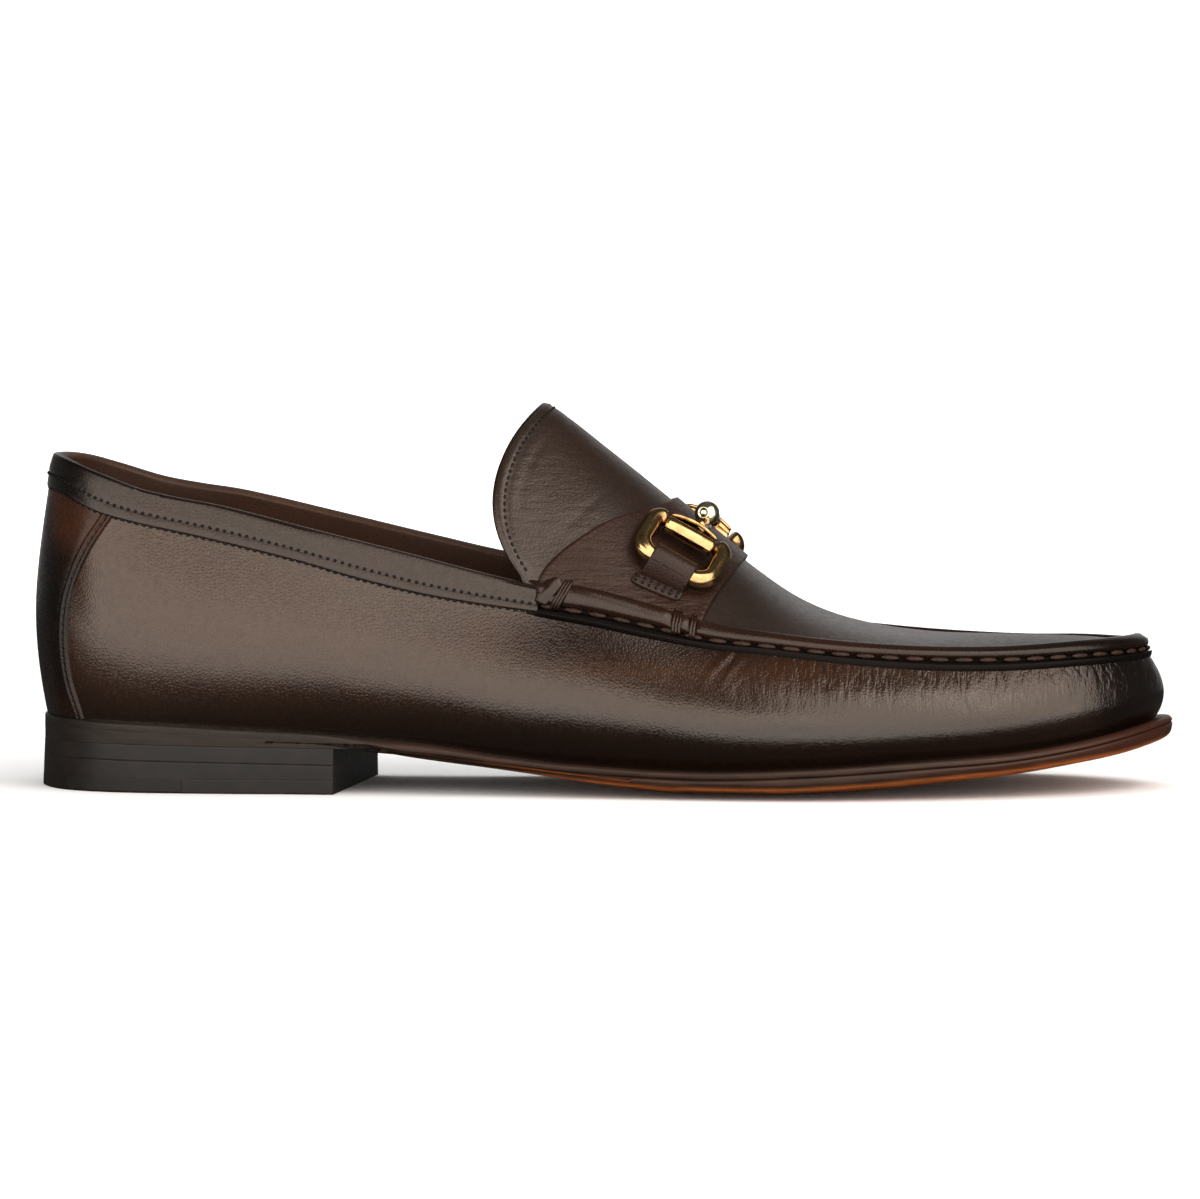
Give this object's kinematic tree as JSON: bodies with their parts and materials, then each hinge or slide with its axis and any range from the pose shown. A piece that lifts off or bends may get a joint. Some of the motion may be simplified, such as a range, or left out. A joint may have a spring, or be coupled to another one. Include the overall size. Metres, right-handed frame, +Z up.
{
  "type": "bit loafer",
  "caption": "Slip-on leather loafer with a moccasin seam round the apron, a saddle strap with a metal bit, a leather sole and a low stacked heel.",
  "frame": {"origin": "middle of the bounding box, on the floor that heel and forepart stand on", "axes": "+X towards the toe, +Y towards the inner side of the foot, +Z up"},
  "size_m": [0.303, 0.1038, 0.1014],
  "materials": {
    "calf": "polished calf, hand burnished darker at toe, heel and seams",
    "trim": "polished dark calf",
    "lining": "matt calf lining",
    "welt": "edge dressed and waxed",
    "sole": "oak bark tanned leather",
    "heel": "stacked leather, edge stained black",
    "rubber": "matt rubber",
    "brass": "polished, slightly aged"
  },
  "bodies": {
    "root": {"upper": "calf", "collar_band": "trim", "backstay": "calf", "saddle_strap": "calf", "insole": "lining", "midsole": "welt", "outsole": "sole", "heel_lift_upper": "heel", "heel_lift_lower": "heel", "top_piece_rubber": "rubber", "top_piece_leather": "heel", "bit_ring_lateral": "brass", "mouthpiece_lateral": "brass", "keeper_lateral": "trim", "bit_ring_medial": "brass", "mouthpiece_medial": "brass", "keeper_medial": "trim", "mouthpiece_ball": "brass"}
  },
  "joints": []
}
